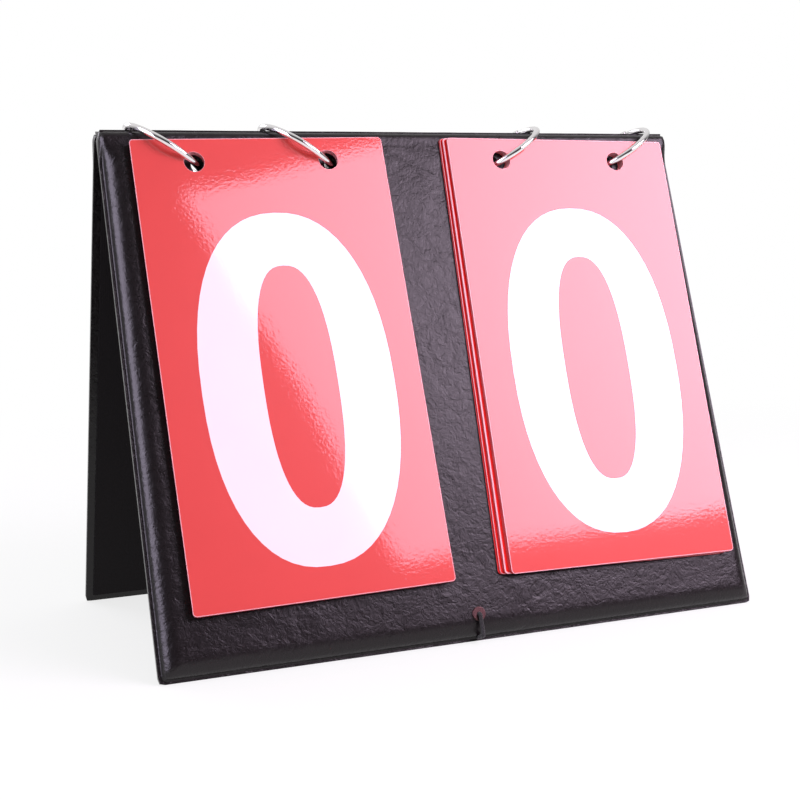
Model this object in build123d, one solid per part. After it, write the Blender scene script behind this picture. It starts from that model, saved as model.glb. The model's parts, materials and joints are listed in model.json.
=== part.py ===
"""Tabletop flip scoreboard: two padded, leatherette-covered panels that stand as an A-frame,
four binder rings through their top edges, and two stacks of ten number cards on the rings.

Frame: origin on the table under the fold line, +X to the reader's right, -Y towards the reader,
+Z up. The front and the rear panel mirror each other about the XZ plane.
"""
from build123d import *
from math import acos, cos, degrees, pi, radians, sin, sqrt
import os

# Panels ------------------------------------------------------------------------------------
panel_width = 235.0         # across both panels
fold_height = 184.7         # fold line above the table
half_opening = 18.75        # each panel's lean from upright, in degrees
top_setback = 1.2           # from the fold line down to the panels' top edge
foot_flat = 0.5             # how far the inner bottom edge is pressed flat on the table
panel_corner = 3.0          # corner radius seen square to the panel
face_rounding = 2.6         # rounding of the padded face into the sides
fold_gap = 0.15             # from the fold plane to the lining's face

lining = 0.5                # lining sheet inside
skin = 0.7                  # leatherette
board = 2.2                 # stiff board
foam = 2.1                  # soft pad under the leatherette
turn_in = 12.0              # how far the leatherette is turned in round the board
lining_margin = 3.0         # bare border round the lining

spine_sheet = 0.8           # leatherette across the fold
spine_margin = 1.0          # bare end at each side of the spine

# Cards -------------------------------------------------------------------------------------
card_count = 10
card_width = 96.0
card_height = 169.0
card_sheet = 0.2            # thickness of one card
card_pitch = 0.3            # from one card to the next in the stack
card_corner = 2.0
card_rest = 0.3             # from the leatherette to the rearmost card
hole_diameter = 7.5         # the cards' punched holes
hole_spacing = 51.0         # between a card's two holes
hole_to_edge = 8.8          # from the holes to the card's top edge
hole_drop = 14.45           # from the fold line down to the holes
stack_centres = {"left": -59.45, "right": 62.8}
ring_fall = {"left": -1, "right": 1}             # the side that each stack's rings lean to
card_slip = 0.06            # each card lies this much further along the leaning rings
stack_turn = {"left": 0.9, "right": -0.8}       # the front card's turn in its plane, in degrees
stack_turn_back = {"left": 0.9, "right": -1.5}   # the rearmost card's turn
back_card_shift = {"left": 0.0, "right": -0.3}   # the rearmost card's extra slip

# Rings -------------------------------------------------------------------------------------
ring_radius = 15.5          # to the middle of the wire
wire_diameter = 2.4
ring_rest = 0.5             # from the spine to the wire that lies on it
panel_hole_play = 1.1       # round the wire in the panels' holes
knuckle_angle = 54.0        # round the ring from the rear, in degrees
ear_radius = 1.8
ear_sheet = 0.8
eye_sheet = 0.9
knuckle_play = 0.1
pin_diameter = 1.0
snap_diameter = 1.2
snap_length = 1.4
snap_play = 0.05

# Stay cord ---------------------------------------------------------------------------------
cord_diameter = 1.4
cord_x = -1.0
cord_hole_drop = 186.3      # from the fold line down to the cord's hole
cord_play = 0.1
cord_bend = 0.8             # to the middle of the cord, where it is pulled round an edge
eyelet_wall = 0.8
eyelet_flange = 1.0         # how far the flange reaches past the barrel
eyelet_sheet = 0.5
knot_radius = 1.7
groove_side_play = 0.4

# Worked out from the sizes above -----------------------------------------------------------
lean_sin, lean_cos = sin(radians(half_opening)), cos(radians(half_opening))
wire = wire_diameter / 2
cord = cord_diameter / 2
board_back = fold_gap + lining + skin            # where the board's inner face lies
board_front = board_back + board
foam_front = board_front + foam
face = foam_front + skin                         # the padded face
panel_bottom = fold_height / lean_cos + foot_flat
panel_length = panel_bottom - top_setback
panel_middle = (panel_bottom + top_setback) / 2

stack_back = face + card_rest + card_sheet / 2   # mid-plane of the rearmost card
stack_front = stack_back + (card_count - 1) * card_pitch
stack_middle = (stack_back + stack_front) / 2
flip_height = fold_height + stack_middle / lean_sin   # where the two stacks' planes meet

front = Plane(origin=(0, 0, fold_height), x_dir=(1, 0, 0), z_dir=(0, -lean_cos, lean_sin))
table = Pos(0, 0, -fold_height / 2) * Box(2 * panel_width, 4 * fold_height, fold_height)


def at(x, drop, out):
    """A place on the front panel: across, down the slope from the fold line, out from it."""
    return front.location * Pos(x, -drop, out)


def point(x, drop, out):
    """The same place as a point."""
    return (at(x, drop, out)).position


def slab(width, length, middle, inner, outer):
    """A sheet parallel to the front panel between two distances out from the fold plane."""
    return at(0, middle, (inner + outer) / 2) * Box(width, length, outer - inner)


# Rings' path -------------------------------------------------------------------------------
thread = point(0, hole_drop, stack_middle)       # where a ring goes through its cards
half_chord = -thread.Y
chord_height = thread.Z
centre_rise = sqrt(ring_radius**2 - half_chord**2)
spine_top = point(0, top_setback - spine_sheet, face - face_rounding).Z
ring_lean = degrees(acos((spine_top + ring_rest + wire - chord_height) / (centre_rise + ring_radius)))


def ring_plane(x, side):
    """The plane of a ring that has fallen to one side: its own x is the row's +Y."""
    sideways = side * sin(radians(ring_lean))
    upright = cos(radians(ring_lean))
    centre = (x + sideways * centre_rise, 0, chord_height + upright * centre_rise)
    return Plane(origin=centre, x_dir=(0, 1, 0), z_dir=(upright, 0, -sideways))


def wire_at(out):
    """Where the wire crosses a plane parallel to the front panel: sideways, down the slope."""
    low, high = pi, 3 * pi / 2
    for _ in range(50):
        turn = (low + high) / 2
        y = ring_radius * cos(turn)
        rise = centre_rise + ring_radius * sin(turn)
        z = chord_height + rise * cos(radians(ring_lean)) - fold_height
        if -y * lean_cos + z * lean_sin > out:
            low = turn
        else:
            high = turn
    return rise * sin(radians(ring_lean)), -z * lean_cos - y * lean_sin


def ring_places():
    """Each ring's number, the x of its holes and the side that it falls to."""
    places = []
    for name, side in ring_fall.items():
        for way in (-0.5, 0.5):
            places.append((len(places) + 1, stack_centres[name] + way * hole_spacing, side))
    return places


# Panels ------------------------------------------------------------------------------------
def padded_block(inset, inner):
    """The panel's outside, or the space for its filling at an inset, with its rounded face."""
    block = slab(panel_width - 2 * inset, panel_length - 2 * inset, panel_middle, inner, face - inset)
    block = fillet(block.edges().filter_by(lambda e: abs(e.tangent_at(0).dot(front.z_dir)) > 0.9),
                   panel_corner - inset)
    rim = block.faces().sort_by(Axis(front.origin, front.z_dir))[-1].edges()
    return fillet(rim, face_rounding - inset)


def ring_holes():
    """Straight holes for the rings: they clear the wire in the panel as it stands and folds."""
    near_x, near_drop = wire_at(face)
    far_x, far_drop = wire_at(fold_gap)
    low_x = (centre_rise - ring_radius) * sin(radians(ring_lean))
    reach = max(abs(near_x - low_x), abs(near_x - far_x)) / 2 + wire + panel_hole_play
    cuts = []
    for _, x, side in ring_places():
        middle = x + side * (near_x + low_x) / 2
        drop = (near_drop + far_drop) / 2
        cuts.append(at(middle, drop, face / 2) * Cylinder(reach, 4 * face))
    return Compound(cuts)


def cord_cuts(radius):
    """The cord's hole, and the groove where the cord goes under the bottom edge."""
    hole = at(cord_x, cord_hole_drop, face / 2) * Cylinder(radius, 4 * face)
    deep = cord_diameter + cord_play + foot_flat
    groove = at(cord_x, panel_bottom, face / 2) * Box(
        cord_diameter + 2 * groove_side_play, 2 * deep, 4 * face)
    return Compound([hole, groove])


def front_panel():
    """The front panel's sheets, by name."""
    filling = padded_block(skin, board_back)
    whole = padded_block(0, fold_gap + lining)
    window = slab(panel_width - 2 * turn_in, panel_length - 2 * turn_in, panel_middle,
                  fold_gap, board_back)
    inside = slab(panel_width - 2 * lining_margin, panel_length - 2 * lining_margin,
                  panel_middle, fold_gap, fold_gap + lining)
    layer = {
        "cover": whole - filling - window,
        "foam": filling & slab(2 * panel_width, 2 * panel_length, panel_middle, board_front, face),
        "board": filling & slab(2 * panel_width, 2 * panel_length, panel_middle, 0, board_front),
        "lining": inside,
    }
    eyelet_outer = cord + cord_play + eyelet_wall
    cuts = [ring_holes(), cord_cuts(eyelet_outer), table]
    for name in layer:
        for cut in cuts:
            layer[name] = layer[name] - cut
    return layer


def cord_eyelet():
    """The eyelet that lines the cord's hole, with its flange on the padded face."""
    bore, outer = cord + cord_play, cord + cord_play + eyelet_wall
    barrel = at(cord_x, cord_hole_drop, (fold_gap + face) / 2) * Cylinder(outer, face - fold_gap)
    flange = at(cord_x, cord_hole_drop, face + eyelet_sheet / 2) * Cylinder(
        outer + eyelet_flange, eyelet_sheet)
    flange = fillet(flange.edges().sort_by(Axis(front.origin, front.z_dir))[-1], eyelet_sheet / 2)
    return barrel + flange - at(cord_x, cord_hole_drop, face / 2) * Cylinder(bore, 4 * face)


def cord_end():
    """One end of the stay cord: knotted inside, out through the eyelet, back under the edge."""
    outside = face + eyelet_sheet + cord + cord_play
    inside = fold_gap - cord - cord_play
    under = panel_bottom - foot_flat - cord
    corners = [(cord_hole_drop, inside), (cord_hole_drop, outside), (under, outside), (under, inside)]
    path = FilletPolyline(*[point(cord_x, drop, out) for drop, out in corners],
                          radius=cord_bend, close=True)
    start = path @ 0
    section = Plane(origin=start, z_dir=path % 0) * Circle(cord)
    loop = sweep(section, path=path)
    return loop + at(cord_x, cord_hole_drop, knot_out()) * Sphere(knot_radius)


def knot_out():
    """How far out from the fold plane the knot's middle lies: it is inside the A-frame."""
    return fold_gap - cord_play - knot_radius


def stay_cord():
    """The taut stretch between the two knots."""
    knot = point(cord_x, cord_hole_drop, knot_out())
    reach = -knot.Y - knot_radius - cord_play
    return Pos(cord_x, 0, knot.Z) * Rot(90, 0, 0) * Cylinder(cord, 2 * reach)


def spine():
    """The leatherette that lies on both top edges and bends at the fold line."""
    edge = point(0, top_setback, face - face_rounding)
    lift = point(0, top_setback - spine_sheet, face - face_rounding)
    valley = point(0, top_setback, 0)
    valley_top = point(0, top_setback - spine_sheet, 0)
    outline = [(edge.Y, edge.Z), (valley.Y, valley.Z), (-valley.Y, valley.Z), (-edge.Y, edge.Z),
               (-lift.Y, lift.Z), (-valley_top.Y, valley_top.Z), (valley_top.Y, valley_top.Z),
               (lift.Y, lift.Z)]
    section = Plane.YZ * make_face(Polyline(*outline, close=True))
    return extrude(section, (panel_width / 2 - spine_margin), both=True)


# Cards -------------------------------------------------------------------------------------
def card(side, number):
    """One card of a stack: number 0 is in front, and the last lies next to the panel."""
    back = number / (card_count - 1)
    turn = stack_turn[side] + (stack_turn_back[side] - stack_turn[side]) * back
    shift = ring_fall[side] * card_slip * ((card_count - 1) / 2 - number)
    if number == card_count - 1:
        shift += back_card_shift[side]
    blank = RectangleRounded(card_width, card_height, card_corner)
    blank = Pos(0, hole_to_edge - card_height / 2) * blank
    for way in (-0.5, 0.5):
        blank -= Pos(way * hole_spacing, 0) * Circle(hole_diameter / 2)
    sheet = extrude(blank, card_sheet / 2, both=True)
    out = stack_front - number * card_pitch
    return at(stack_centres[side] + shift, hole_drop, out) * Rot(0, 0, turn) * sheet


# Rings -------------------------------------------------------------------------------------
def ring_pieces():
    """A ring's two halves and its pin, in the ring's own plane."""
    turn = radians(knuckle_angle)
    knuckle = Pos(ring_radius * cos(turn), ring_radius * sin(turn))
    snap = Pos(-ring_radius * cos(turn), -ring_radius * sin(turn))
    eye_room = Cylinder(ear_radius + knuckle_play, eye_sheet + 2 * knuckle_play)
    ear_room = Cylinder(ear_radius + knuckle_play, 4 * ear_radius) - Cylinder(
        2 * ear_radius, eye_sheet)
    ear_out = eye_sheet / 2 + knuckle_play + ear_sheet / 2
    ears = Pos(0, 0, ear_out) * Cylinder(ear_radius, ear_sheet)
    ears += Pos(0, 0, -ear_out) * Cylinder(ear_radius, ear_sheet)
    pin_hole = knuckle * Cylinder(pin_diameter / 2, 4 * ear_radius)
    along = Rot(0, 0, knuckle_angle) * Rot(90, 0, 0)
    half = Torus(ring_radius, wire, 0, 360, 180, align=None)

    front_half = Rot(0, 0, knuckle_angle) * half - knuckle * eye_room + knuckle * ears - pin_hole
    socket = snap * along * Cylinder(snap_diameter / 2 + snap_play, 2 * (snap_length + snap_play))
    front_half -= socket
    rear_half = Rot(0, 0, knuckle_angle + 180) * half - knuckle * ear_room
    rear_half = rear_half + knuckle * Cylinder(ear_radius, eye_sheet) - pin_hole
    rear_half += snap * along * Cylinder(snap_diameter / 2, 2 * snap_length)
    pin = knuckle * Cylinder(pin_diameter / 2, 2 * (ear_out + ear_sheet / 2))
    return {"front_half": front_half, "rear_half": rear_half, "pin": pin}


# Assembly ----------------------------------------------------------------------------------
def model():
    """Every piece by its node's name."""
    pieces = {}
    halves = front_panel()
    halves["cord_eyelet"] = cord_eyelet()
    halves["cord_end"] = cord_end()
    for name, shape in halves.items():
        pieces["front_" + name] = shape
        pieces["rear_" + name] = mirror(shape, about=Plane.XZ)
    pieces["spine_strip"] = spine()
    pieces["stay_cord"] = stay_cord()
    for side in stack_centres:
        for number in range(card_count):
            pieces[f"{side}_card_{number}"] = card(side, number)
    ring = ring_pieces()
    for number, x, side in ring_places():
        for name, shape in ring.items():
            pieces[f"ring_{number}_{name}"] = ring_plane(x, side).location * shape
    return pieces


def main():
    os.makedirs("parts", exist_ok=True)
    for name, shape in model().items():
        export_step(shape, f"parts/{name}.step")
    axis = ring_plane(*ring_places()[0][1:])
    print("fold line", fold_height, "flip axis height", round(flip_height, 4))
    print("stack", round(stack_back, 3), round(stack_front, 3), "face", round(face, 3))
    print("ring lean", round(ring_lean, 3), "centre", axis.origin, "axis", axis.z_dir)
    print("card range, degrees", round(-360 + 2 * half_opening, 3))


if __name__ == "__main__":
    main()
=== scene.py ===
"""Tabletop flip scoreboard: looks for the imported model, laid out as a Blender add-on.

Lengths in this file are metres unless a name says mm. Frame: origin on the table under the
fold line, +X to the reader's right, -Y towards the reader, +Z up.
"""

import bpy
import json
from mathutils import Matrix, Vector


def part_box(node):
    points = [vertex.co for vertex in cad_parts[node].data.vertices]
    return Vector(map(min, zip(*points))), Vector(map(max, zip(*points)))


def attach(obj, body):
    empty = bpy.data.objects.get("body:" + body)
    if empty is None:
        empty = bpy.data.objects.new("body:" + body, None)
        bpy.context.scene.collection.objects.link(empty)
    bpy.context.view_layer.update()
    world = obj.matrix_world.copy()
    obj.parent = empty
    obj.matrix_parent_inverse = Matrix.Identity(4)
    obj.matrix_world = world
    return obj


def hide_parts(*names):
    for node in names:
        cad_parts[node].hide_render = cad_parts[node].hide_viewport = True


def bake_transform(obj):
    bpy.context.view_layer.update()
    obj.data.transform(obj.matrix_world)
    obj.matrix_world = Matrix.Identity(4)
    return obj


bl_info = {
    "name": "Tabletop Flip Scoreboard",
    "version": (1, 0, 0),
    "blender": (4, 5, 0),
    "location": "View3D > Sidebar > Scoreboard",
    "description": "Padded leatherette A-frame with number cards on binder rings",
    "category": "Object",
}

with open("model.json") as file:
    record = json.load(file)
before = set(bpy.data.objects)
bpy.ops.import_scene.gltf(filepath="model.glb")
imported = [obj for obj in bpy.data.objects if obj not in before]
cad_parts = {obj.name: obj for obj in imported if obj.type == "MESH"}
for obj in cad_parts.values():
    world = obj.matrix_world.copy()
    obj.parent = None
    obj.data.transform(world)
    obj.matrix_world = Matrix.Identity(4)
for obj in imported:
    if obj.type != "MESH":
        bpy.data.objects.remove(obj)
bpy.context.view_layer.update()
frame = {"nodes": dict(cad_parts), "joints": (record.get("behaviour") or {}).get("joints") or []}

import json
from math import cos, pi, radians, sin, sqrt, tan

import bpy
import numpy as np
from bpy.props import FloatProperty, FloatVectorProperty, IntProperty, PointerProperty
from mathutils import Matrix, Vector, noise
from mathutils.geometry import tessellate_polygon

MM = 0.001
# Each panel and its way round: the rear panel's frame is the front one's, turned by half a turn.
SIDES = {"front": 1, "rear": -1}
STACKS = ("left", "right")
FOLD_HEIGHT = frame["joints"][0]["pos_m"][2]
HALF_OPENING = radians(18.75)


def linear(colour):
    """An sRGB hex colour as linear RGBA."""
    parts = [int(colour[i:i + 2], 16) / 255 for i in (1, 3, 5)]
    return [p / 12.92 if p <= 0.04045 else ((p + 0.055) / 1.055) ** 2.4 for p in parts] + [1.0]


def length(name, default, description, low=0.0):
    return FloatProperty(name=name, default=default, description=description, min=low, max=1,
                         unit="LENGTH", subtype="DISTANCE", precision=5)


def colour(name, default, description):
    return FloatVectorProperty(name=name, default=linear(default), description=description,
                               size=4, min=0, max=1, subtype="COLOR")


# ---- Properties ----
class ScoreboardPanelSizes(bpy.types.PropertyGroup):
    """The two padded panels, the spine and the stay cord."""
    width: length("Width", 235 * MM, "Across a panel")
    top: length("Top setback", 1.2 * MM, "From the fold line down to a panel's top edge")
    corner: length("Corner", 1.6 * MM, "Corner radius")
    back: length("Back", 0.65 * MM, "From the fold plane to the leatherette's inner face")
    face: length("Face", 6.28 * MM, "From the fold plane to the padded face")
    rim_width: length("Rim width", 1.3 * MM, "Width of the welded rim")
    rim_face: length("Rim face", 2.0 * MM, "From the fold plane to the rim's face")
    roll_off: length("Roll-off", 6.8 * MM, "Width over which the pad falls to the rim")
    top_roll: length("Top roll-off", 2.6 * MM, "Rounding along the top edge")
    squash: length("Squash", 0.5 * MM, "How much of the rim the table presses flat")
    cell: length("Cell", 1.7 * MM, "Mesh size on the padded face")
    wave: length("Wave", 0.07 * MM, "Height of the pad's slow unevenness")
    crease: length("Crease", 0.15 * MM, "Depth of the creases")
    creases: IntProperty(name="Creases", default=34, min=0, description="Creases on each panel")
    ring_hole: length("Ring hole", 4.0 * MM, "Radius of the holes for the rings")
    ring_reach: length("Ring reach", 11.15 * MM, "Across, from a ring's middle to its hole")
    ring_drop: length("Ring drop", 14.82 * MM, "From the fold line down to the rings' holes")
    cord_hole: length("Cord hole", 1.55 * MM, "Radius of the hole for the stay cord")
    cord_x: length("Cord x", -1 * MM, "Where the stay cord is across the panel", low=-1)
    cord_drop: length("Cord drop", 186.3 * MM, "From the fold line down to the cord's hole")
    cord_diameter: length("Cord diameter", 1.4 * MM, "Thickness of the stay cord")
    board_sheet: length("Board", 2.15 * MM, "Thickness of the board inside a panel")
    board_inset: length("Board inset", 8.6 * MM, "From a panel's side to its board")
    board_top: length("Board top", 3.3 * MM, "From the fold line down to the board's top")
    board_foot: length("Board foot", 183.5 * MM, "From the fold line down to the board's foot")


class ScoreboardCardSizes(bpy.types.PropertyGroup):
    """The number cards."""
    width: length("Width", 96 * MM, "Across a card")
    height: length("Height", 169 * MM, "Down a card")
    sheet: length("Sheet", 0.2 * MM, "Thickness of a card")
    pitch: length("Pitch", 0.3 * MM, "From one card to the next")
    corner: length("Corner", 1.4 * MM, "Corner radius")
    hole: length("Hole", 3.75 * MM, "Radius of the punched holes")
    spacing: length("Hole spacing", 51 * MM, "Between a card's two holes")
    to_edge: length("Hole to edge", 8.8 * MM, "From the holes up to the card's top edge")
    drop: length("Hole drop", 14.45 * MM, "From the fold line down to the holes")
    front: length("Front", 9.45 * MM, "From the fold plane to the front card's middle")
    # Width of the painted-shade strip along a back card's left side: its print drawn deeper and
    # matt for the shade between fanned cards.
    bare_strip: length("Bare strip", 2.4 * MM, "Width of the unlaminated print at one side")
    digit_centre: length("Digit centre", 84.6 * MM, "From the holes down to the digit's centre")


class ScoreboardFinishes(bpy.types.PropertyGroup):
    """Colours and grain."""
    leatherette: colour("Leatherette", "#151011", "Embossed black PVC leatherette")
    leatherette_worn: colour("Leatherette, worn", "#1e191b", "Its rubbed patches")
    lining: colour("Lining", "#161314", "Matt black lining")
    card_red: colour("Card red", "#e74c49", "Printed red under the laminate")
    card_white: colour("Digit white", "#f8f1fa", "Unprinted white of the digits")
    card_border: colour("Card border", "#f5a9b1", "Laminate border round the print")
    card_edge: colour("Card edge", "#d21c1f", "Cut edge, stained by the ink")
    # Painted shade: the deeper red of the strip along the back cards' left side, standing in for
    # the shade between fanned cards.
    bare_ink: colour("Bare ink", "#f2170f", "Print along the side where the laminate stops short")
    nickel: colour("Nickel", "#e6e3e4", "Nickel-plated steel wire")
    bronze: colour("Eyelet", "#3d2b2b", "Antique bronze finish of the eyelets")
    cord: colour("Cord", "#0b0909", "Braided polyester cord")
    grain: length("Grain", 0.95 * MM, "Spacing of the embossed grain")
    vein: length("Vein", 5.5 * MM, "Spacing of the embossed veins")
    peel: length("Peel", 1.15 * MM, "Spacing of the laminate's ripples")


class ScoreboardStage(bpy.types.PropertyGroup):
    """Camera, lamps and floor."""
    camera_at: FloatVectorProperty(name="Camera", default=(-0.22004, -0.52168, 0.14315), size=3,
                                   subtype="TRANSLATION", description="Camera's place")
    yaw: FloatProperty(name="Yaw", default=0.3958, subtype="ANGLE",
                       description="Camera's turn to the right")
    pitch: FloatProperty(name="Pitch", default=-0.1086, subtype="ANGLE",
                         description="Camera's tilt up")
    roll: FloatProperty(name="Roll", default=-0.0242, subtype="ANGLE", description="Camera's roll")
    lens: FloatProperty(name="Lens", default=64.81, description="Focal length in millimetres")
    key: FloatProperty(name="Key", default=9.4, description="Radiance of the soft box")
    strip: FloatProperty(name="Strip", default=9.0, description="Radiance of the side strip")
    fill: FloatProperty(name="Fill", default=1.2, description="Radiance of the frontal fill")


# ---- Small tools ----
class Net:
    """The node tree of a material, a lamp or the world, filled node by node."""

    def __init__(self, owner):
        owner.use_nodes = True
        self.owner, self.tree = owner, owner.node_tree
        self.tree.nodes.clear()

    def add(self, kind, links=None, **settings):
        """A node with its settings and its inputs, each a value or another node's output."""
        made = self.tree.nodes.new("ShaderNode" + kind)
        for name, value in settings.items():
            setattr(made, name, value)
        for socket, value in (links or {}).items():
            if isinstance(value, bpy.types.NodeSocket):
                self.tree.links.new(value, made.inputs[socket])
            else:
                made.inputs[socket].default_value = value
        return made

    def math(self, operation, a, b):
        return self.add("Math", {0: a, 1: b}, operation=operation).outputs[0]

    def spread(self, value, low, high, start=0.0, end=1.0, **settings):
        """A value that runs from low to high while the given one runs from start to end."""
        return self.add("MapRange", {
            "Value": value, "From Min": start, "From Max": end, "To Min": low,
            "To Max": high}, **settings).outputs[0]

    def blend(self, share, a, b):
        """A colour between two colours."""
        return self.add("Mix", {0: share, "A": a, "B": b}, data_type="RGBA").outputs["Result"]


class Look(Net):
    """A material in the making, whose patterns are laid out in the piece's own frame."""

    def __init__(self, name):
        super().__init__(bpy.data.materials.new(name))
        self.place = self.add("TexCoord").outputs["Object"]

    def noise(self, scale, detail, place=None, kind="FBM", **inputs):
        return self.add("TexNoise", {
            "Vector": self.place if place is None else place, "Scale": scale,
            "Detail": detail, **inputs}, noise_type=kind).outputs["Fac"]

    def mottled(self, base, pattern, low, high):
        """A colour whose brightness wanders with a pattern between two shares of its own."""
        return self.add("HueSaturation", {
            "Color": base, "Value": self.spread(pattern, low, high)}).outputs[0]

    def bump(self, height, strength, distance, below=None, **settings):
        """The normal of a relief, laid over the one below it."""
        links = {"Height": height, "Strength": strength, "Distance": distance}
        if below is not None:
            links["Normal"] = below
        return self.add("Bump", links, **settings).outputs[0]

    def close(self, shader):
        self.add("OutputMaterial", {"Surface": shader.outputs[0]})
        return self.owner

    def principled(self, inputs):
        """Closes the material with a Principled shader of these inputs."""
        return self.close(self.add("BsdfPrincipled", inputs))


def panel_frame(side):
    """Across, up the slope and outward, with its origin on the fold line."""
    lean, rise, way = sin(HALF_OPENING), cos(HALF_OPENING), SIDES[side]
    across = Vector((way, 0, 0))
    up = Vector((0, way * lean, rise))
    out = Vector((0, -way * rise, lean))
    rows = Matrix((across, up, out)).transposed().to_4x4()
    rows.translation = (0, 0, FOLD_HEIGHT)
    return rows


def add_object(name, data, matrix=Matrix()):
    """An object of the scene."""
    made = bpy.data.objects.new(name, data)
    made.matrix_world = matrix
    bpy.context.scene.collection.objects.link(made)
    return made


def smooth_mesh(mesh, sharp):
    """Shades a mesh smooth, save over edges sharper than an angle in degrees."""
    mesh.polygons.foreach_set("use_smooth", [True] * len(mesh.polygons))
    mesh.set_sharp_from_angle(angle=radians(sharp))


def new_piece(name, vertices, faces, material, body=None, matrix=Matrix(), smooth=None,
              indices=None):
    """A mesh piece, which rides on a body if one is named."""
    mesh = bpy.data.meshes.new(name)
    mesh.from_pydata(vertices, [], faces)
    for each in material if isinstance(material, (list, tuple)) else [material]:
        mesh.materials.append(each)
    if indices is not None:
        mesh.polygons.foreach_set("material_index", indices)
    if smooth is not None:
        smooth_mesh(mesh, smooth)
    mesh.validate()
    piece = add_object(name, mesh, matrix)
    if body:
        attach(piece, body)
    return piece


def rounded_rectangle(half_width, half_height, radius, corner=6):
    """Points round a rounded rectangle."""
    points = []
    for quarter, (sx, sy) in enumerate(((1, 1), (-1, 1), (-1, -1), (1, -1))):
        for step in range(corner + 1):
            a = (quarter + step / corner) * pi / 2
            points.append((sx * (half_width - radius) + radius * cos(a),
                           sy * (half_height - radius) + radius * sin(a)))
    return points


def circle(x, y, radius, count=40):
    return [(x + radius * cos(2 * pi * i / count), y + radius * sin(2 * pi * i / count))
            for i in range(count)]


def quads(rings, count):
    """Faces that join each ring of points, count to a ring, to the next."""
    return [(a + i, a + (i + 1) % count, a + count + (i + 1) % count, a + count + i)
            for a in range(0, (rings - 1) * count, count) for i in range(count)]


def loft(rings):
    """Vertices and faces of a skin through rings of points, shut at both ends."""
    count, last = len(rings[0]), (len(rings) - 1) * len(rings[0])
    ends = [tuple(reversed(range(count))), tuple(range(last, last + count))]
    return [point for ring in rings for point in ring], quads(len(rings), count) + ends


def prism(outline, low, high):
    """A closed straight-sided shape over an outline."""
    return loft([[(x, y, z) for x, y in outline] for z in (low, high)])


# ---- Materials ----
def embossed_pvc_leatherette(name, finish):
    """Calendered PVC film embossed with a fine pebble and slack folds: near-black, with a satin
    sheen that breaks up over the grain and streaks where it is stretched round an edge."""
    look, vein, grain = Look(name), finish.vein, finish.grain
    drift = look.add("TexNoise", {
        "Vector": look.place, "Scale": 0.45 / vein, "Detail": 3.0, "Roughness": 0.6})
    bent = look.add("VectorMath", {
        0: drift.outputs["Color"], 1: (0.5, 0.5, 0.5)}, operation="SUBTRACT")
    bent = look.add("VectorMath", {0: bent.outputs[0], "Scale": 1.6 * vein}, operation="SCALE")
    bent = look.add("VectorMath", {0: look.place, 1: bent.outputs[0]}).outputs[0]
    fold = look.noise(0.6 / vein, 4.0, bent, "RIDGED_MULTIFRACTAL", Roughness=0.5, Offset=1.0,
                      Gain=2.0)
    wrinkle = look.noise(2.2 / vein, 3.0, bent, Roughness=0.6, Distortion=0.5)
    patches = look.noise(0.22 / vein, 2.0)
    fine = look.noise(0.7 / grain, 3.0, bent, Roughness=0.6)
    pebble = look.add("TexVoronoi", {"Vector": bent, "Scale": 1 / grain, "Smoothness": 0.7},
                      feature="SMOOTH_F1").outputs["Distance"]
    relief = look.bump(fold, look.spread(patches, 0.15, 0.9, 0.44, 0.6), 0.1 * MM, invert=True)
    relief = look.bump(wrinkle, 0.8, 0.2 * MM, relief)
    relief = look.bump(fine, 0.8, 0.1 * MM, relief)
    relief = look.bump(pebble, 0.4, 0.05 * MM, relief)
    return look.principled({
        "Base Color": look.blend(patches, finish.leatherette, finish.leatherette_worn),
        "Roughness": look.spread(fine, 0.26, 0.34, 0.3, 0.7), "IOR": 1.5,
        "Specular IOR Level": 0.32, "Normal": relief})


def laminated_card(name, finish, base):
    """Offset-printed card under gloss laminate: saturated ink below a hard clear film, whose
    slight ripple frays the edges of reflections."""
    look, peel = Look(name), finish.peel
    mottle, sag = look.noise(0.05 / peel, 2.0), look.noise(0.03 / peel, 0.0)
    ripple = look.noise(1 / peel, 2.0, Distortion=0.4)
    relief = look.bump(sag, 1.0, 0.1 * MM, look.bump(ripple, 0.5, 0.024 * MM))
    return look.principled({
        "Base Color": look.mottled(base, mottle, 0.97, 1.03), "Roughness": 0.34,
        "Specular IOR Level": 0.2, "IOR": 1.5, "Coat Weight": 1.0, "Coat Roughness": 0.02,
        "Coat IOR": 1.5, "Normal": relief, "Coat Normal": relief})


def cut_paperboard(name, finish, base):
    """Paperboard where the print stops or the blade has cut it: fibrous, pale, and stained by
    the ink, under a thin lip of laminate."""
    look = Look(name)
    fibres = look.noise(1 / (0.3 * MM), 3.0)
    return look.principled({
        "Base Color": look.mottled(base, fibres, 0.93, 1.05), "Roughness": 0.3, "IOR": 1.5,
        "Normal": look.bump(fibres, 0.3, 0.02 * MM)})


def bare_offset_ink(name, finish):
    """Painted shade: the cards' red print drawn deep and nearly matt, standing in for the shade
    between fanned cards, with the board's faint tooth.
    """
    look = Look(name)
    tooth = look.noise(1 / (0.4 * MM), 3.0)
    return look.principled({
        "Base Color": look.mottled(finish.bare_ink, tooth, 0.92, 1.06), "Roughness": 0.5,
        "IOR": 1.5, "Specular IOR Level": 0.1, "Normal": look.bump(tooth, 0.3, 0.02 * MM)})


def nickel_plated_steel(name, finish):
    """Drawn steel wire, barrel-plated with bright nickel: mirror-like, with faint wear."""
    look = Look(name)
    wear = look.noise(1 / (1.5 * MM), 4.0)
    return look.principled({
        "Base Color": finish.nickel, "Metallic": 1.0,
        "Roughness": look.spread(wear, 0.05, 0.16), "Normal": look.bump(wear, 0.25, 0.03 * MM)})


def antique_bronze(name, finish):
    """Pressed brass eyelet with an antique bronze finish: dark, reddish, speckled and bright."""
    look = Look(name)
    speck = look.noise(1 / (0.4 * MM), 3.0)
    return look.principled({
        "Base Color": look.blend(speck, finish.bronze, linear("#5e4545")), "Metallic": 1.0,
        "Roughness": 0.3})


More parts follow.
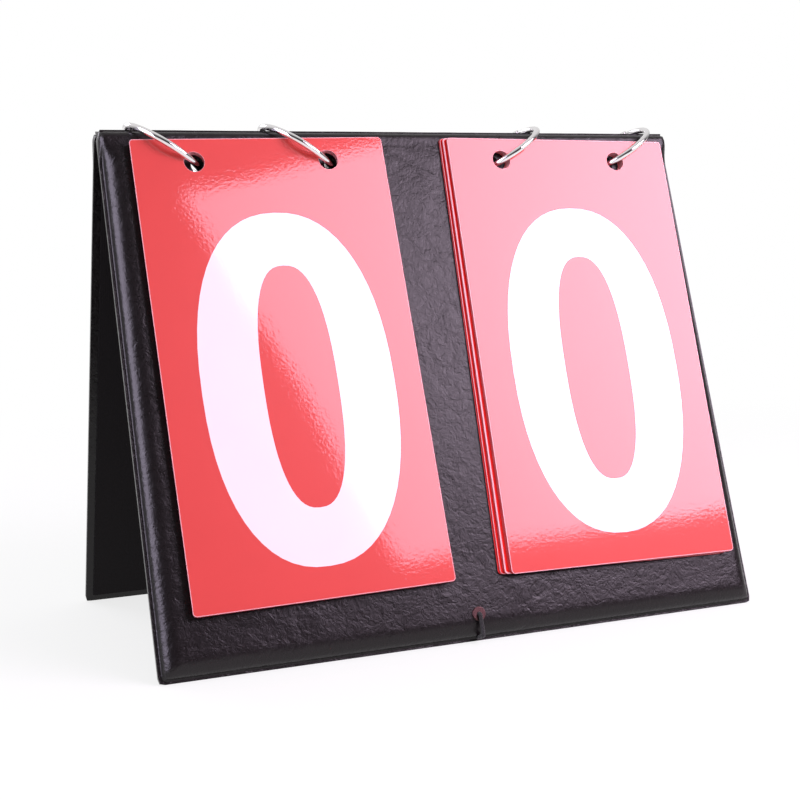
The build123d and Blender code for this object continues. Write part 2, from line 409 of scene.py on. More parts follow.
def braided_polyester(name, finish):
    """Braided polyester cord: matt black with a diagonal plait, a quarter of its thickness."""
    look, strands = Look(name), []
    for lean in (0.7, -0.7):
        turned = look.add("VectorRotate", {"Vector": look.place, "Angle": lean},
                          rotation_type="Z_AXIS")
        strands.append(look.add("TexWave", {
            "Vector": turned.outputs[0], "Scale": 0.3 / (0.35 * MM), "Distortion": 0.4},
            bands_direction="Y").outputs["Fac"])
    plait = look.math("MULTIPLY", *strands)
    return look.principled({
        "Base Color": look.blend(plait, finish.cord, linear("#2c292b")), "Roughness": 0.75,
        "IOR": 1.45, "Sheen Weight": 0.3, "Normal": look.bump(plait, 0.8, 0.1 * MM)})


def woven_bookcloth(name, finish):
    """Black bookcloth: a plain weave of matt cotton, filled with paste, that hardly shines."""
    look = Look(name)
    weave = look.math("MAXIMUM", *(look.add("TexWave", {
        "Vector": look.place, "Scale": 0.3 / (0.7 * MM), "Distortion": 0.6, "Detail": 1.0},
        bands_direction=way).outputs["Fac"] for way in ("X", "Z")))
    return look.principled({
        "Base Color": look.blend(weave, finish.lining, finish.leatherette), "Roughness": 0.75,
        "IOR": 1.4, "Specular IOR Level": 0.3, "Normal": look.bump(weave, 0.5, 0.08 * MM)})


def grey_millboard(name):
    """Pressed recycled millboard: matt, flecked grey-brown."""
    look = Look(name)
    flecks = look.noise(1 / (0.8 * MM), 5.0, Roughness=0.7)
    return look.principled({
        "Base Color": look.blend(flecks, linear("#6f6a63"), linear("#a39d93")),
        "Roughness": 0.9, "IOR": 1.45})


def shared_material(maker, *details, name=None):
    """A material from its maker, whose name it takes if it has none of its own, made once."""
    name = name or maker.__name__
    return bpy.data.materials.get(name) or maker(name, *details)


def finish_nodes(names, material):
    """Gives CAD nodes that are shown as they are a better material."""
    for name in names:
        for each in frame["nodes"][name].material_slots:
            each.material = material


# ---- Padded covers ----
# Insets of the loops that follow a panel's outline, close together where its rim is pressed.
PAD_LOOPS_MM = (0, 0.25, 0.6, 1, 1.35, 1.6, 1.75, 1.95, 2.25, 2.7, 3.3, 4.1, 5.1, 6.2, 7.4, 8.6)
PAD_SEEDS = {"front": 11, "rear": 23}
# The groove round the pad: its depth, and the share of the rim's width at which it begins.
RIM_GROOVE, GROOVE_FROM = 0.25 * MM, 0.7
# Power of the curve by which the pad falls to the rim.
ROLL_POWER = 2.2
# From the end of the roll-off to the border of the grid, and how fast the loops' corners
# sharpen on the way in.
GRID_SETBACK, CORNER_LOSS = 1.5 * MM, 0.3
# The top edge is rounded this far down, and further down gives way to the sides' roll-off.
TOP_ZONE, TOP_FADE = 3 * MM, 9 * MM
LONG_WAVE, SHORT_WAVE = 19 * MM, 8 * MM
# The puckers at a corner: height, reach and how fast they follow each other round it.
PUCKER_HEIGHT, PUCKER_REACH, PUCKER_RATE = 0.16 * MM, 20 * MM, 7
# Between the creases run finer ones: their share of the depth, and their reach.
FINE_SHARE, FINE_REACH_MM = 0.45, (2, 7)
# How far the unevenness may stand above the padded face.
SPARE = 0.2 * MM
PANEL_LENGTH = 0.195
BOARD_CORNER, BOARD_GAP = 3 * MM, 0.1 * MM
# From behind a panel to in front of it, for the shapes that cut its holes.
THROUGH = (-2 * MM, 12 * MM)


def pad_height(inset, topness, sizes):
    """How far the leatherette stands out at an inset from the panel's outline."""
    rim, roll, face = sizes.rim_width, sizes.roll_off, sizes.face
    if inset <= rim:
        sunk = max(0, inset / rim - GROOVE_FROM) / (1 - GROOVE_FROM)
        side = sizes.rim_face - RIM_GROOVE * sunk**2
    else:
        part = min(1, (inset - rim) / roll)
        low = sizes.rim_face - RIM_GROOVE
        side = low + (face - low) * sqrt(1 - (1 - part) ** ROLL_POWER)
    part = min(1, inset / sizes.top_roll)
    top = face - sizes.top_roll + sizes.top_roll * sqrt(1 - (1 - part) ** 2)
    return side + (top - side) * topness


def crease_field(xs, ys, sizes, seed, reach_mm=(7, 30)):
    """Depth of a panel's creases, from short curved valleys with a slight lip."""
    rng = np.random.RandomState(seed)
    depth = np.zeros_like(xs)
    for _ in range(sizes.creases):
        cx, cy = rng.uniform(-0.5, 0.5) * sizes.width, rng.uniform(-PANEL_LENGTH, 0)
        angle = rng.uniform(0, pi)
        reach = rng.uniform(*reach_mm) * MM
        bend = rng.uniform(-0.25, 0.25)
        wide = rng.uniform(0.7, 1.5) * MM
        strength = rng.uniform(0.35, 1.0) * sizes.crease
        along = (xs - cx) * cos(angle) + (ys - cy) * sin(angle)
        over = -(xs - cx) * sin(angle) + (ys - cy) * cos(angle) - bend * along**2 / reach
        fade = np.exp(-(along / (0.5 * reach)) ** 4)
        depth -= strength * fade * np.exp(-(over / wide) ** 2)
        depth += 0.5 * strength * fade * np.exp(-((over - 1.8 * wide) / (1.3 * wide)) ** 2)
    return depth


def outline_loop(inset, inner, half, counts, corner):
    """Points round a panel at an inset from its edge, in step with the grid inside. Each side
    runs from the middle of one corner's arc to the middle of the next."""
    radius = max(0, corner - CORNER_LOSS * inset) * max(0, 1 - inset / inner)
    bend = radius * pi / 4
    points = []
    for turn in range(4):
        across, other = half[turn % 2] - inset, half[1 - turn % 2] - inset
        straight, count = 2 * (across - radius), counts[turn % 2]
        for i in range(count):
            run = i / count * (straight + 2 * bend) - bend
            along = min(max(run, 0), straight)
            angle = (run - along) / radius if radius else 0
            u = along - (across - radius) + radius * sin(angle)
            v = -(other - radius) - radius * cos(angle)
            for _ in range(turn):
                u, v = -v, u
            points.append((u, v))
    return points


def panel_net(sizes, half, inner):
    """A flat net over a panel, loops along its outline round a grid: each point's place and its
    inset from the edge, the faces, and how many points a loop has."""
    columns, rows = counts = [max(4, round(2 * (h - inner) / sizes.cell)) for h in half]
    insets = [i * MM for i in PAD_LOOPS_MM] + [inner]
    points = [(x, y, inset) for inset in insets
              for x, y in outline_loop(inset, inner, half, counts, sizes.corner)]
    around = 2 * (columns + rows)
    faces = quads(len(insets), around)
    # The grid inside, whose border is the last loop.
    last = len(points) - around
    index = {}
    for i in range(columns):
        index[i, 0] = last + i
        index[columns - i, rows] = last + columns + rows + i
    for j in range(rows):
        index[columns, j] = last + columns + j
        index[0, rows - j] = last + 2 * columns + rows + j
    wide, tall = half[0] - inner, half[1] - inner
    for j in range(1, rows):
        for i in range(1, columns):
            index[i, j] = len(points)
            points.append((-wide + i * 2 * wide / columns, -tall + j * 2 * tall / rows, inner))
    faces += [(index[i, j], index[i + 1, j], index[i + 1, j + 1], index[i, j + 1])
              for j in range(rows) for i in range(columns)]
    return points, faces, around


def pad_relief(points, side, sizes, half, inner):
    """How far each point of a panel's net stands out from the fold plane."""
    seed = PAD_SEEDS[side]
    xs, ys, _ = np.array(points).T
    ys = ys - sizes.top - half[1]
    creases = crease_field(xs, ys, sizes, seed)
    creases += FINE_SHARE * crease_field(xs, ys, sizes, seed + 1, FINE_REACH_MM)
    outs = []
    for (x, y, inset), valley in zip(points, creases):
        topness = 1 - min(1, max(0, (half[1] - y - TOP_ZONE) / TOP_FADE))
        topness = topness * topness * (3 - 2 * topness)
        wave = noise.noise(Vector((x, y, seed)) / LONG_WAVE)
        wave += 0.5 * noise.noise(Vector((x, y, seed + 5)) / SHORT_WAVE)
        inside = min(1, inset / inner)
        corner = Vector((half[0] - abs(x), half[1] - abs(y)))
        pucker = 0.0
        if corner.length < PUCKER_REACH and inset > sizes.rim_width:
            turn = corner.angle(Vector((1, 0)), 0)
            pucker = (PUCKER_HEIGHT * sin(PUCKER_RATE * turn + seed + (x > 0)) * inside
                      * (1 - corner.length / PUCKER_REACH))
        out = pad_height(inset, topness, sizes)
        out += sizes.wave * wave * inside + valley * inside**2 + pucker
        outs.append(min(out, sizes.face + SPARE))
    return outs


def cover_surface(side, sizes):
    """Vertices and faces of a closed padded panel, in its own frame, before its holes."""
    slope = FOLD_HEIGHT / cos(HALF_OPENING) + sizes.squash
    half = (sizes.width / 2, (slope - sizes.top) / 2)
    inner = sizes.rim_width + sizes.roll_off + GRID_SETBACK
    points, faces, around = panel_net(sizes, half, inner)
    outs = pad_relief(points, side, sizes, half, inner)
    vertices = [(x, y - sizes.top - half[1], out) for (x, y, _), out in zip(points, outs)]
    # The wall down to the flat back, and the back itself.
    edge = range(around)
    for share in (0.5, 0.0):
        ring = range(len(vertices), len(vertices) + around)
        vertices += [(x, y, sizes.back + (out - sizes.back) * share)
                     for x, y, out in vertices[:around]]
        for i in range(around):
            j = (i + 1) % around
            faces.append((edge[i], ring[i], ring[j], edge[j]))
        edge = ring
    faces.append(tuple(reversed(edge)))
    return vertices, faces


def cut(piece, shapes):
    """Cuts closed shapes, each a list of vertices and faces in the piece's frame, out of it."""
    mesh = bpy.data.meshes.new("cut")
    vertices, faces = [], []
    for shape_vertices, shape_faces in shapes:
        start = len(vertices)
        vertices += shape_vertices
        faces += [tuple(start + i for i in face) for face in shape_faces]
    mesh.from_pydata(vertices, [], faces)
    tool = add_object("cut", mesh, piece.matrix_world)
    step = piece.modifiers.new("holes", "BOOLEAN")
    step.object, step.operation, step.solver = tool, "DIFFERENCE", "EXACT"
    bpy.context.view_layer.update()
    seen = piece.evaluated_get(bpy.context.evaluated_depsgraph_get())
    cut_mesh = bpy.data.meshes.new_from_object(seen)
    piece.modifiers.remove(step)
    old, piece.data = piece.data, cut_mesh
    bpy.data.meshes.remove(old)
    bpy.data.objects.remove(tool)
    bpy.data.meshes.remove(mesh)


def add_cover(side, sizes, skin, holes):
    """One panel's padded cover, with its holes, standing on the table."""
    piece = new_piece(f"{side}_padded_cover", *cover_surface(side, sizes), skin,
                      f"{side}_panel", panel_frame(side))
    cut(piece, holes)
    # The rim is pressed flat where the panel stands on the table.
    mesh, down = piece.data, piece.matrix_world.inverted()
    for vertex in mesh.vertices:
        place = piece.matrix_world @ vertex.co
        if place.z < 0:
            place.z = 0
            vertex.co = down @ place
    smooth_mesh(mesh, 50)
    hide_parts(f"{side}_cover", f"{side}_foam")


def add_board(side, sizes, holes):
    """One panel's board, which stops short of the welded rim and of the cord's hole."""
    middle = (sizes.board_top + sizes.board_foot) / 2
    outline = [(x, y - middle) for x, y in rounded_rectangle(
        sizes.width / 2 - sizes.board_inset, middle - sizes.board_top, BOARD_CORNER)]
    low = sizes.back + BOARD_GAP
    piece = new_piece(f"{side}_millboard", *prism(outline, low, low + sizes.board_sheet),
                      shared_material(grey_millboard),
                      f"{side}_panel", panel_frame(side))
    cut(piece, holes)
    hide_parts(f"{side}_board")


class SCOREBOARD_OT_covers(bpy.types.Operator):
    """Builds the padded leatherette covers of both panels and the boards inside them"""
    bl_idname = "scoreboard.build_covers"
    bl_label = "Padded covers"

    def execute(self, context):
        sizes, finish = context.scene.scoreboard_panel, context.scene.scoreboard_finish
        skin = shared_material(embossed_pvc_leatherette, finish)
        for side, way in SIDES.items():
            rings = [prism(circle(way * x, y, sizes.ring_hole), *THROUGH)
                     for x, y in ring_hole_places(sizes)]
            cord = prism(circle(way * sizes.cord_x, -sizes.cord_drop, sizes.cord_hole, 28),
                         *THROUGH)
            add_cover(side, sizes, skin, rings + [cord])
            add_board(side, sizes, rings)
        return {"FINISHED"}


def ring_hole_places(sizes):
    """Where the rings' holes are on the front panel: across, and up from the fold line."""
    middles = {j["name"]: j["pos_m"][0] for j in frame["joints"]}
    return [(middles[f"ring_{number}_spin"] + (-1 if number > 2 else 1) * sizes.ring_reach,
             -sizes.ring_drop) for number in range(1, 5)]


# ---- Cards ----
LAST_CARD = 9
# The materials of a card's faces, in the order of its slots; the last is painted shade along the
# back cards' left side.
CUT, BORDER, RED, WHITE, PAINTED_SHADE = range(5)
# How far a stack's front card is turned, and how much more its rearmost one, in degrees.
CARD_TURN = {"left": (0.9, 0.0), "right": (-0.8, -0.7)}
EDGE_ROUNDING, HOLE_BORDER, LEAST_CORNER = 0.04 * MM, 0.12 * MM, 0.3 * MM
# How far across the painted-shade strip still runs on round a card's corners.
STRIP_REACH = 0.5 * MM
# A border that is narrower than this shows the colour of the cut edge.
THIN_BORDER = 0.1 * MM
# Triangles below this area, in square metres, are left out.
SLIVER = 0.5e-13
# How far each card was punched off its middle, front to back, in millimetres.
CARD_DRIFT = {"left": (0.0, 0.1, 0.2, 0.0, 0.1, 0.3, 0.2, 0.3, 0.1, 0.2),
              "right": (0.35, 0.5, 0.6, 0.65, -0.75, -0.6, -0.5, -1.35, -1.2, -1.1)}
# Width of the laminate's pale border round each card, where it shows, in millimetres.
CARD_BORDER = {"left": (0.28,) + LAST_CARD * (0.06,),
               "right": (0.3, 0.06, 0.06, 0.06, 0.6, 0.06, 0.06, 0.2, 0.06, 0.06)}


def bow(cx, cy, rx, ry, start, end, power=2.3, step=6):
    """Points along a squarish oval, in millimetres, between two angles in degrees."""
    count = max(2, round(abs(end - start) / step))
    points = []
    for i in range(count + 1):
        a = radians(start + (end - start) * i / count)
        c, s = cos(a), sin(a)
        points.append((cx + rx * abs(c) ** (2 / power) * (1 if c >= 0 else -1),
                       cy + ry * abs(s) ** (2 / power) * (1 if s >= 0 else -1)))
    return points


def swing(a, b, c, count=10):
    """Points along a curve from a to c that is drawn towards b."""
    points = []
    for i in range(count + 1):
        t = i / count
        points.append(tuple((1 - t) ** 2 * p + 2 * t * (1 - t) * q + t * t * r
                            for p, q, r in zip(a, b, c)))
    return points


def digit_outlines(digit):
    """A heavy, narrow numeral: its outline and its counters, in millimetres round its centre."""
    half = 64.5
    if digit == 0:
        return bow(1.4, 0, 35.9, half, 0, 355), [bow(1.7, 0.3, 13.9, 44.2, 0, 354, 2.5)]
    if digit == 1:
        return ([(21, half), (21, -half), (0.5, -half), (0.5, 30), (-23, 30)]
                + swing((-23, 45), (1, 45), (5, half), 6), [])
    if digit == 2:
        bowl = bow(0, 28.5, 34.5, 36.25, 172, -22)
        counter = bow(0, 28, 14, 17.5, -18, 168)
        return (bowl + swing(bowl[-1], (24, -12), (-6, -44.75))[1:]
                + [(34.5, -44.75), (34.5, -half), (-35, -half), (-35, -50)]
                + swing((-35, -50), (-30, -24), counter[0])[1:-1] + counter, [])
    if digit == 3:
        return (bow(-1, 31, 32.5, 33.75, 172, -38) + bow(-1, -27.5, 35.5, 37.25, 40, -172)
                + bow(-1, -27, 15, 19, -168, 90) + [(-13, -8), (-13, 12)]
                + bow(-1, 30, 12.5, 17, -90, 168), [])
    if digit == 4:
        return ([(26, half), (26, -14), (37, -14), (37, -33), (26, -33), (26, -half),
                 (6, -half), (6, -33), (-37, -33), (-37, -15), (2, half)],
                [[(6, -14), (-14.7, -14), (6, 28.3)]])
    if digit == 5:
        return ([(-27, half), (30, half), (30, 45.5), (-9.5, 45.5), (-11, 18)]
                + bow(0, -24, 35, 40.75, 106, -172) + bow(0, -24, 15, 21, -168, 142)
                + [(-31.5, -8)], [])
    if digit in (6, 9):
        outline = (bow(0, 25, 34.5, 39.75, 16, 180) + bow(0, -24.5, 35, 40.25, 180, 476)
                   + bow(0, 25, 14.5, 20.5, 180, 16))
        counter = bow(0, -24.5, 15, 21, 0, 354)
        if digit == 6:
            return outline, [counter]
        return [(-x, -y) for x, y in outline], [[(-x, -y) for x, y in counter]]
    if digit == 7:
        return ([(-34, half), (35, half)] + swing((35, 46), (11, 5), (6, -half))
                + swing((-16, -half), (-11, 0), (12, 44.75)) + [(-34, 44.75)], [])
    # The right side of an eight is at each height the wider of its two lobes.
    right = []
    for i in range(61):
        y = half * cos(pi * i / 60)
        lobes = [rx * (1 - abs((y - cy) / ry) ** 2.3) ** (1 / 2.3) if abs(y - cy) < ry else 0
                 for cy, rx, ry in ((31, 32, 33.75), (-27.5, 35, 37.25))]
        right.append((max(lobes), y))
    return (right + [(-x, y) for x, y in reversed(right[1:-1])],
            [bow(0, 30, 13, 16.8, 0, 354), bow(0, -27, 15, 19.5, 0, 354)])


class Sheet:
    """A mesh in the making: its vertices, its faces and the index of each face's material."""

    def __init__(self):
        self.vertices, self.faces, self.kinds = [], [], []

    def band(self, loops, kinds, inward=False):
        """Joins closed loops of points, each with its height, by quads."""
        start, count = len(self.vertices), len(loops[0][0])
        self.vertices += [(x, y, z) for points, z in loops for x, y in points]
        for k, quad in enumerate(quads(len(loops), count)):
            quad = [start + i for i in quad]
            self.faces.append(tuple(reversed(quad)) if inward else tuple(quad))
            self.kinds.append(kinds[k // count])

    def edge(self, loop, border, half_t, trim, inward=False):
        """A rounded cut edge between the borders of the sheet's two sides."""
        self.band([(loop(inset), z) for inset, z in (
            (border, -half_t), (EDGE_ROUNDING, -half_t), (0, EDGE_ROUNDING - half_t),
            (0, half_t - EDGE_ROUNDING), (EDGE_ROUNDING, half_t), (border, half_t))],
            (trim, trim, CUT, trim, trim), inward)

    def fill(self, loops, z, kind):
        """Fills an outline, less its holes, with triangles that face away from the middle."""
        start = len(self.vertices)
        self.vertices += [(x, y, z) for loop in loops for x, y in loop]
        for triangle in tessellate_polygon([[Vector((x, y, 0)) for x, y in loop]
                                            for loop in loops]):
            corners = [start + i for i in triangle]
            a, b, c = (Vector(self.vertices[i]) for i in corners)
            area = (b - a).cross(c - a).z / 2
            if abs(area) < SLIVER:
                continue
            self.faces.append(tuple(corners if area * z > 0 else reversed(corners)))
            self.kinds.append(kind)


def card_mesh(digit, drift, border, sizes):
    """A card in its own frame, with its origin midway between its holes and its outline moved
    across by a drift."""
    half_t = sizes.sheet / 2
    middle = sizes.to_edge - sizes.height / 2
    sheet = Sheet()

    def outline(inset):
        return [(x + drift, y + middle) for x, y in rounded_rectangle(
            sizes.width / 2 - inset, sizes.height / 2 - inset,
            max(sizes.corner - inset, LEAST_CORNER))]

    def placed(points):
        return [(x * MM, y * MM - sizes.digit_centre) for x, y in points]

    sheet.edge(outline, border, half_t, CUT if border < THIN_BORDER else BORDER)
    punched = []
    for x in (-sizes.spacing / 2, sizes.spacing / 2):
        sheet.edge(lambda inset: circle(x, 0, sizes.hole + inset), HOLE_BORDER, half_t, BORDER,
                   inward=True)
        punched.append(circle(x, 0, sizes.hole + HOLE_BORDER))
    # A card behind the front one gets painted shade along its left side: its red print drawn
    # deeper and nearly matt, standing in for the shade between the fanned cards.
    face_inset = border
    if digit:
        face_inset = border + sizes.bare_strip
        rim = outline(face_inset)
        sheet.band([(outline(border), half_t), (rim, half_t)], [RED])
        left = drift - sizes.width / 2 + face_inset + STRIP_REACH
        for i in range(-len(rim), 0):
            if max(rim[i][0], rim[i + 1][0]) < left:
                sheet.kinds[i] = PAINTED_SHADE
    numeral, counters = digit_outlines(digit)
    sheet.fill([outline(border)] + punched, -half_t, RED)
    sheet.fill([outline(face_inset)] + punched + [placed(numeral)], half_t, RED)
    sheet.fill([placed(numeral)] + [placed(c) for c in counters], half_t, WHITE)
    for counter in counters:
        sheet.fill([placed(counter)], half_t, RED)
    return sheet


def card_frame(stack, number, sizes):
    """A card's own frame, found from its CAD solid's box: the card's middle and its turn."""
    low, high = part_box(f"{stack}_card_{number}")
    first, more = CARD_TURN[stack]
    turn = radians(first + more * number / LAST_CARD)
    out = sizes.front - number * sizes.pitch
    middle_x = (low[0] + high[0]) / 2
    reach = sizes.height / 2 - sizes.to_edge
    across = middle_x - reach * sin(turn)
    place = Matrix.Translation((across, -sizes.drop, out)) @ Matrix.Rotation(turn, 4, "Z")
    return panel_frame("front") @ place


class SCOREBOARD_OT_cards(bpy.types.Operator):
    """Builds the two stacks of number cards"""
    bl_idname = "scoreboard.build_cards"
    bl_label = "Number cards"

    def execute(self, context):
        sizes, finish = context.scene.scoreboard_card, context.scene.scoreboard_finish
        inks = [shared_material(cut_paperboard, finish, finish.card_edge),
                shared_material(cut_paperboard, finish, finish.card_border,
                                name="paperboard_border"),
                shared_material(laminated_card, finish, finish.card_red,
                                name="laminated_card_red"),
                shared_material(laminated_card, finish, finish.card_white,
                                name="laminated_card_white"),
                # Painted shade for the strip along the back cards' left side.
                shared_material(bare_offset_ink, finish)]
        for stack in STACKS:
            for number in range(LAST_CARD + 1):
                drift = CARD_DRIFT[stack][number] * MM
                border = CARD_BORDER[stack][number] * MM
                sheet = card_mesh(number, drift, border, sizes)
                node = f"{stack}_card_{number}"
                body = "front_panel" if number == LAST_CARD else node
                piece = new_piece(f"{node}_printed", sheet.vertices, sheet.faces, inks, body,
                                  card_frame(stack, number, sizes), indices=sheet.kinds)
                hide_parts(node)
        return {"FINISHED"}


# ---- Rings, spine and cord ----
SPINE_RIPPLE, RIPPLE_LENGTH = 0.05 * MM, 9 * MM
CORD_SAG = 0.8 * MM


class SCOREBOARD_OT_rings(bpy.types.Operator):
    """Finishes the four binder rings"""
    bl_idname = "scoreboard.finish_rings"
    bl_label = "Binder rings"

    def execute(self, context):
        plate = shared_material(nickel_plated_steel, context.scene.scoreboard_finish)
        finish_nodes([n for n in frame["nodes"] if n.startswith("ring_")], plate)
        return {"FINISHED"}


class SCOREBOARD_OT_spine(bpy.types.Operator):
    """Builds the leatherette spine across the fold"""
    bl_idname = "scoreboard.build_spine"
    bl_label = "Spine"

    def execute(self, context):
        sizes, finish = context.scene.scoreboard_panel, context.scene.scoreboard_finish
        skin = shared_material(embossed_pvc_leatherette, finish)
        low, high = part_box("spine_strip")
        half_y, sheet, rounding, stations = high[1], 0.8 * MM, 0.8 * MM, 120
        section = [(y, high[2] - (half_y - sqrt(y * y + rounding**2)) * tan(HALF_OPENING))
                   for y in (half_y * i / 8 for i in range(-8, 9))]
        rings = []
        for i in range(stations + 1):
            x = low[0] + (high[0] - low[0]) * i / stations
            ripple = SPINE_RIPPLE * noise.noise(Vector((x / RIPPLE_LENGTH, 0.3, 0.7)))
            rings.append([(x, y, z + ripple) for y, z in section]
                         + [(x, y, z - sheet) for y, z in reversed(section)])
        piece = new_piece("spine_leatherette", *loft(rings), skin, smooth=40)
        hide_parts("spine_strip")
        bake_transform(piece)
        return {"FINISHED"}


def nurbs_path(route):
    """Points along a smooth curve through a cord's route."""
    line = bpy.data.curves.new("cord_route", "CURVE")
    line.dimensions = "3D"
    spline = line.splines.new("NURBS")
    spline.points.add(len(route) - 1)
    for point, place in zip(spline.points, route):
        point.co = (*place, 1)
    spline.order_u = 3
    spline.use_endpoint_u = True
    holder = bpy.data.objects.new("cord_route", line)
    drawn = bpy.data.meshes.new_from_object(holder)
    path = [v.co.copy() for v in drawn.vertices]
    bpy.data.meshes.remove(drawn)
    bpy.data.objects.remove(holder)
    bpy.data.curves.remove(line)
    return path


class SCOREBOARD_OT_cord(bpy.types.Operator):
    """Builds the stay cord between the two knots and finishes its ends and eyelets"""
    bl_idname = "scoreboard.build_cord"
    bl_label = "Stay cord"

    def execute(self, context):
        sizes, finish = context.scene.scoreboard_panel, context.scene.scoreboard_finish
        braid = shared_material(braided_polyester, finish)
        low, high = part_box("stay_cord")
        reach, height = high[1], (low[2] + high[2]) / 2
        route = [(sizes.cord_x, -reach, height), (sizes.cord_x, 0, height - CORD_SAG),
                 (sizes.cord_x, reach, height)]
        path, radius = nurbs_path(route), sizes.cord_diameter / 2
        rings = [[(place.x + x, place.y, place.z + z) for x, z in circle(0, 0, radius, 14)]
                 for place in path]
        piece = new_piece("stay_cord_braid", *loft(rings), braid, smooth=60)
        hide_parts("stay_cord")
        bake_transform(piece)
        finish_nodes(["front_cord_end", "rear_cord_end"], braid)
        finish_nodes(["front_cord_eyelet", "rear_cord_eyelet"],
                     shared_material(antique_bronze, finish))
        return {"FINISHED"}


class SCOREBOARD_OT_linings(bpy.types.Operator):
    """Finishes the linings on the panels' inner sides"""
    bl_idname = "scoreboard.finish_linings"
    bl_label = "Linings"

    def execute(self, context):
        finish = context.scene.scoreboard_finish
        finish_nodes(["front_lining", "rear_lining"],
                     shared_material(woven_bookcloth, finish))
        return {"FINISHED"}


# ---- Stage ----
def area_lamp(name, place, target, width, height, radiance, tint="#ffffff", roll=0.0,
              glossy=True, diffuse=True):
    """A rectangular soft box that faces a point, at a plain radiance."""
    lamp = bpy.data.lights.new(name, "AREA")
    lamp.shape, lamp.size, lamp.size_y = "RECTANGLE", width, height
    lamp.energy = radiance * pi * width * height
    lamp.color = linear(tint)[:3]
    facing = (Vector(target) - Vector(place)).to_track_quat("-Z", "Y").to_matrix().to_4x4()
    holder = add_object(name, lamp, Matrix.Translation(place) @ facing
                        @ Matrix.Rotation(roll, 4, "Z"))
    holder.visible_glossy, holder.visible_diffuse = glossy, diffuse
    holder.visible_camera = False
    return holder


def hot_end(lamp, dim=0.72, bright=1.4, soft_share=0.012):
    """Makes a soft box brighter towards the end its flash stands at, and soft at its edges."""
    net = Net(lamp)
    face = net.add("SeparateXYZ", {"Vector": net.add("NewGeometry").outputs["Parametric"]})
    level = net.spread(face.outputs["X"], dim, bright)
    for way in ("X", "Y"):
        edge = net.math("PINGPONG", face.outputs[way], 0.5)
        soft = net.spread(edge, 0.0, 1.0, 0.0, soft_share, interpolation_type="SMOOTHSTEP")
        level = net.math("MULTIPLY", level, soft)
    glow = net.add("Emission", {"Strength": level})
    net.add("OutputLight", {"Surface": glow.outputs[0]})


def studio_world(dim=0.06, bright=0.86, bright_way=(0, 0.6, 0.8)):
    """White where the camera sees it, a white backdrop behind and a dim room in front."""
    bpy.context.scene.world = bpy.data.worlds.new("studio")
    net = Net(bpy.context.scene.world)
    rise = net.add("VectorMath", {0: net.add("TexCoord").outputs["Generated"], 1: bright_way},
                   operation="DOT_PRODUCT").outputs["Value"]
    room = net.spread(rise, dim, bright, 0.0, 0.8, interpolation_type="SMOOTHSTEP")
    strength = net.add("Mix", {
        0: net.add("LightPath").outputs["Is Camera Ray"], "A": room, "B": 1.0},
        data_type="FLOAT").outputs[0]
    paint = net.add("Background", {"Color": linear("#ffffff"), "Strength": strength})
    net.add("OutputWorld", {"Surface": paint.outputs[0]})


def white_floor(near=0.25, far=0.8, near_glow=0.78):
    """Seamless white paper that goes white to the camera and keeps the object's shadow: the
    share of its glow rises with the distance from the object."""
    look = Look("seamless_white_paper")
    rays = look.add("LightPath").outputs
    seen = rays["Is Camera Ray"]
    for kind in ("Is Glossy Ray", "Is Transmission Ray"):
        seen = look.math("MAXIMUM", seen, rays[kind])
    paper = look.add("BsdfDiffuse", {
        "Color": look.blend(seen, linear("#a8a8a8"), linear("#fafafa"))})
    glow = look.add("Emission", {"Color": linear("#ffffff"), "Strength": 1.0})
    away = look.add("VectorMath", {0: look.place}, operation="LENGTH").outputs["Value"]
    share = look.spread(away, near_glow, 1.0, near, far, interpolation_type="SMOOTHSTEP")
    made = look.close(look.add("MixShader", {
        0: look.math("MULTIPLY", seen, share), 1: paper.outputs[0], 2: glow.outputs[0]}))
    corners = [(-8, -8, 0), (8, -8, 0), (8, 8, 0), (-8, 8, 0)]
    new_piece("floor", corners, [(0, 1, 2, 3)], made)


def add_camera(stage):
    forward = Vector((sin(stage.yaw) * cos(stage.pitch), cos(stage.yaw) * cos(stage.pitch),
                      sin(stage.pitch)))
    right = Vector((cos(stage.yaw), -sin(stage.yaw), 0))
    up = right.cross(forward)
    across = cos(stage.roll) * right + sin(stage.roll) * up
    above = -sin(stage.roll) * right + cos(stage.roll) * up
    turn = Matrix((across, above, -forward)).transposed().to_4x4()
    data = bpy.data.cameras.new("camera")
    data.lens, data.sensor_width, data.clip_start = stage.lens, 36, 0.01
    bpy.context.scene.camera = add_object("camera", data,
                                          Matrix.Translation(stage.camera_at) @ turn)


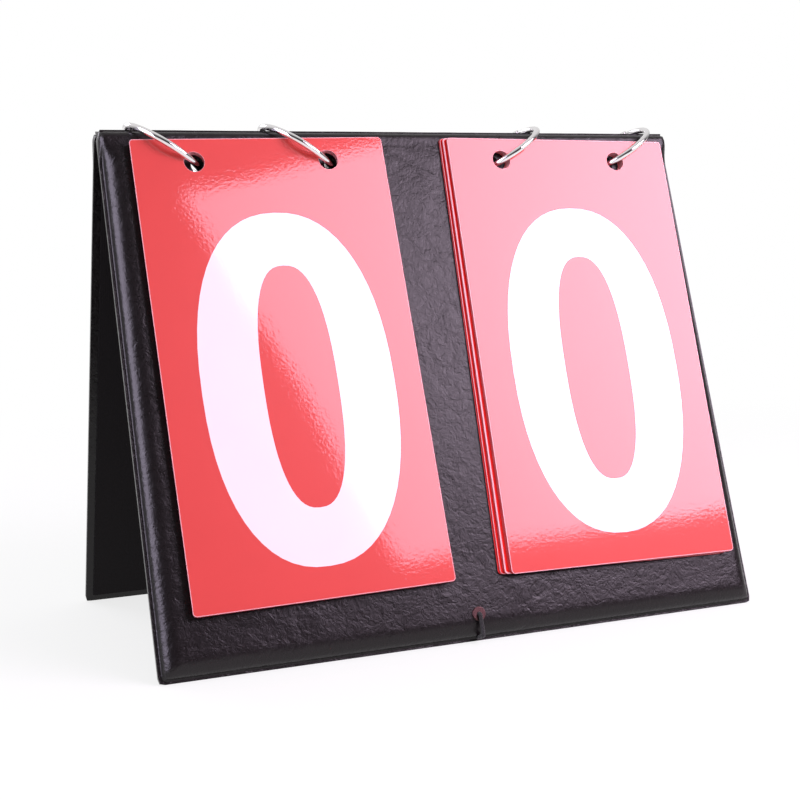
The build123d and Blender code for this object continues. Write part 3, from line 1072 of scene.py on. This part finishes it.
class SCOREBOARD_OT_stage(bpy.types.Operator):
    """Sets up the camera, the lamps and the floor"""
    bl_idname = "scoreboard.build_stage"
    bl_label = "Stage"

    def execute(self, context):
        stage = context.scene.scoreboard_stage
        add_camera(stage)
        context.scene.view_settings.view_transform = "Standard"
        soft_box = area_lamp("soft_box", place=(0.485, -0.619, 0.481), target=(0.29, -0.549, 0),
                             width=0.63, height=0.565, radiance=stage.key, tint="#f9e3fb",
                             roll=radians(-33.1))
        hot_end(soft_box.data)
        area_lamp("side_strip", place=(-1.0, -0.3, 0.5), target=(-0.11, -0.03, 0.1),
                  width=0.75, height=0.85, radiance=stage.strip, tint="#efe4ff", diffuse=False)
        area_lamp("back_box", place=(-0.5, 0.85, 0.62), target=(0.02, 0.06, 0.1),
                  width=0.5, height=0.4, radiance=stage.key * 0.6, tint="#f6f0ff")
        area_lamp("front_fill", place=(-0.25, -1.3, 0.75), target=(0, 0, 0.09),
                  width=1.2, height=0.9, radiance=stage.fill, tint="#f2f6ff", glossy=False)
        studio_world()
        white_floor()
        return {"FINISHED"}


# ---- Panel, registration and main ----
OPERATORS = (SCOREBOARD_OT_stage, SCOREBOARD_OT_cord, SCOREBOARD_OT_covers,
             SCOREBOARD_OT_spine, SCOREBOARD_OT_cards, SCOREBOARD_OT_rings,
             SCOREBOARD_OT_linings)
GROUPS = {"scoreboard_panel": ScoreboardPanelSizes, "scoreboard_card": ScoreboardCardSizes,
          "scoreboard_finish": ScoreboardFinishes, "scoreboard_stage": ScoreboardStage}


class SCOREBOARD_PT_sidebar(bpy.types.Panel):
    """Sizes, colours and operators of the scoreboard"""
    bl_idname = "SCOREBOARD_PT_sidebar"
    bl_label = "Flip scoreboard"
    bl_space_type = "VIEW_3D"
    bl_region_type = "UI"
    bl_category = "Scoreboard"

    def draw(self, context):
        for operator in OPERATORS:
            self.layout.operator(operator.bl_idname)
        for name, group in GROUPS.items():
            box = self.layout.box()
            for each in group.__annotations__:
                box.prop(getattr(context.scene, name), each)


def register():
    for group in GROUPS.values():
        bpy.utils.register_class(group)
    for each in (*OPERATORS, SCOREBOARD_PT_sidebar):
        bpy.utils.register_class(each)
    for name, group in GROUPS.items():
        setattr(bpy.types.Scene, name, PointerProperty(type=group))


def unregister():
    for name in GROUPS:
        delattr(bpy.types.Scene, name)
    for each in reversed((*GROUPS.values(), *OPERATORS, SCOREBOARD_PT_sidebar)):
        bpy.utils.unregister_class(each)


def main():
    register()
    for operator in OPERATORS:
        group, name = operator.bl_idname.split(".")
        getattr(getattr(bpy.ops, group), name)()


if __name__ == "__main__":
    main()
